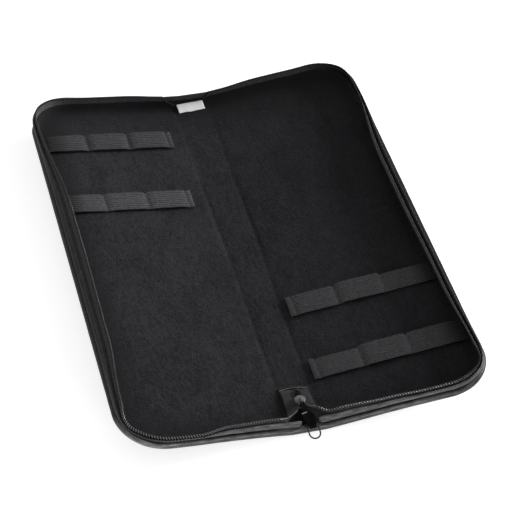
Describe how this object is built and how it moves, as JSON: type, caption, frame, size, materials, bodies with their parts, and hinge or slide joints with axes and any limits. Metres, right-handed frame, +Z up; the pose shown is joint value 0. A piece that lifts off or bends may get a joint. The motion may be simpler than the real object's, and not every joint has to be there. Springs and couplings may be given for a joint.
{
  "type": "knife case",
  "caption": "Stiff zip-around clamshell case for chef's knives, open like a book: shallow trays with looped elastic straps, a narrow spine and a zip slider with a ring pull.",
  "frame": {"origin": "middle of the spine's flat underside, on which the open case rests", "axes": "+X across the spine to the right half, +Y along the spine to the end with the label, +Z up"},
  "size_m": [0.3284, 0.4825, 0.0378],
  "materials": {
    "leatherette": "glossy black coated fabric",
    "felt": "matt black brushed lining",
    "board": "plain stiffener board",
    "tape": "woven black zip tape",
    "coil": "black nylon coil",
    "webbing": "ribbed black elastic webbing",
    "label": "bare white woven label",
    "slider": "satin grey metal",
    "puller": "black painted metal"
  },
  "bodies": {
    "spine": {"spine_cover": "leatherette", "spine_board": "board", "spine_lining": "felt", "near_spine_roll": "leatherette", "far_spine_roll": "leatherette", "far_spine_tape": "tape", "left_tail_tape": "tape", "right_tail_tape": "tape", "joined_coil": "coil", "bottom_stop": "slider", "end_tab": "leatherette", "sewn_label": "label", "left_near_band_end": "leatherette", "left_near_tape_end": "tape", "left_near_coil_end": "coil", "left_far_band_end": "leatherette", "left_far_tape_end": "tape", "left_far_coil_end": "coil", "right_near_band_end": "leatherette", "right_near_tape_end": "tape", "right_near_coil_end": "coil", "right_far_band_end": "leatherette", "right_far_tape_end": "tape", "right_far_coil_end": "coil"},
    "left_half": {"left_cover": "leatherette", "left_board": "board", "left_lining": "felt", "left_base_roll": "leatherette", "left_edge_band": "leatherette", "left_zip_tape": "tape", "left_zip_coil": "coil", "left_far_elastic": "webbing", "left_middle_elastic": "webbing"},
    "right_half": {"right_cover": "leatherette", "right_board": "board", "right_lining": "felt", "right_base_roll": "leatherette", "right_edge_band": "leatherette", "right_zip_tape": "tape", "right_zip_coil": "coil", "right_middle_elastic": "webbing", "right_near_elastic": "webbing"},
    "slider": {"slider_body": "slider"},
    "puller": {"puller": "puller"},
    "ring": {"pull_ring": "puller"}
  },
  "joints": [
    {"name": "left_fold", "type": "hinge", "parent": "spine", "child": "left_half", "pos_m": [-0.0155, 0, 0.0036], "axis": [0, 1, 0], "range_deg": [0, 82.5], "deforming": ["left_near_band_end", "left_near_tape_end", "left_near_coil_end", "left_far_band_end", "left_far_tape_end", "left_far_coil_end"]},
    {"name": "right_fold", "type": "hinge", "parent": "spine", "child": "right_half", "pos_m": [0.0155, 0, 0.0036], "axis": [0, -1, 0], "range_deg": [0, 82.5], "deforming": ["right_near_band_end", "right_near_tape_end", "right_near_coil_end", "right_far_band_end", "right_far_tape_end", "right_far_coil_end"]},
    {"name": "slider_slide", "type": "slide", "parent": "spine", "child": "slider", "axis": [0, 1, 0], "range_m": [0, 0.005]},
    {"name": "puller_swing", "type": "hinge", "parent": "slider", "child": "puller", "pos_m": [-0.00085, -0.20644, 0.01215], "axis": [-0.9971, -0.0767, 0], "range_deg": [0, 150]},
    {"name": "ring_swing", "type": "hinge", "parent": "puller", "child": "ring", "pos_m": [0.00151, -0.23708, 0.01], "axis": [-0.9971, -0.0767, 0], "range_deg": [0, 100]}
  ]
}
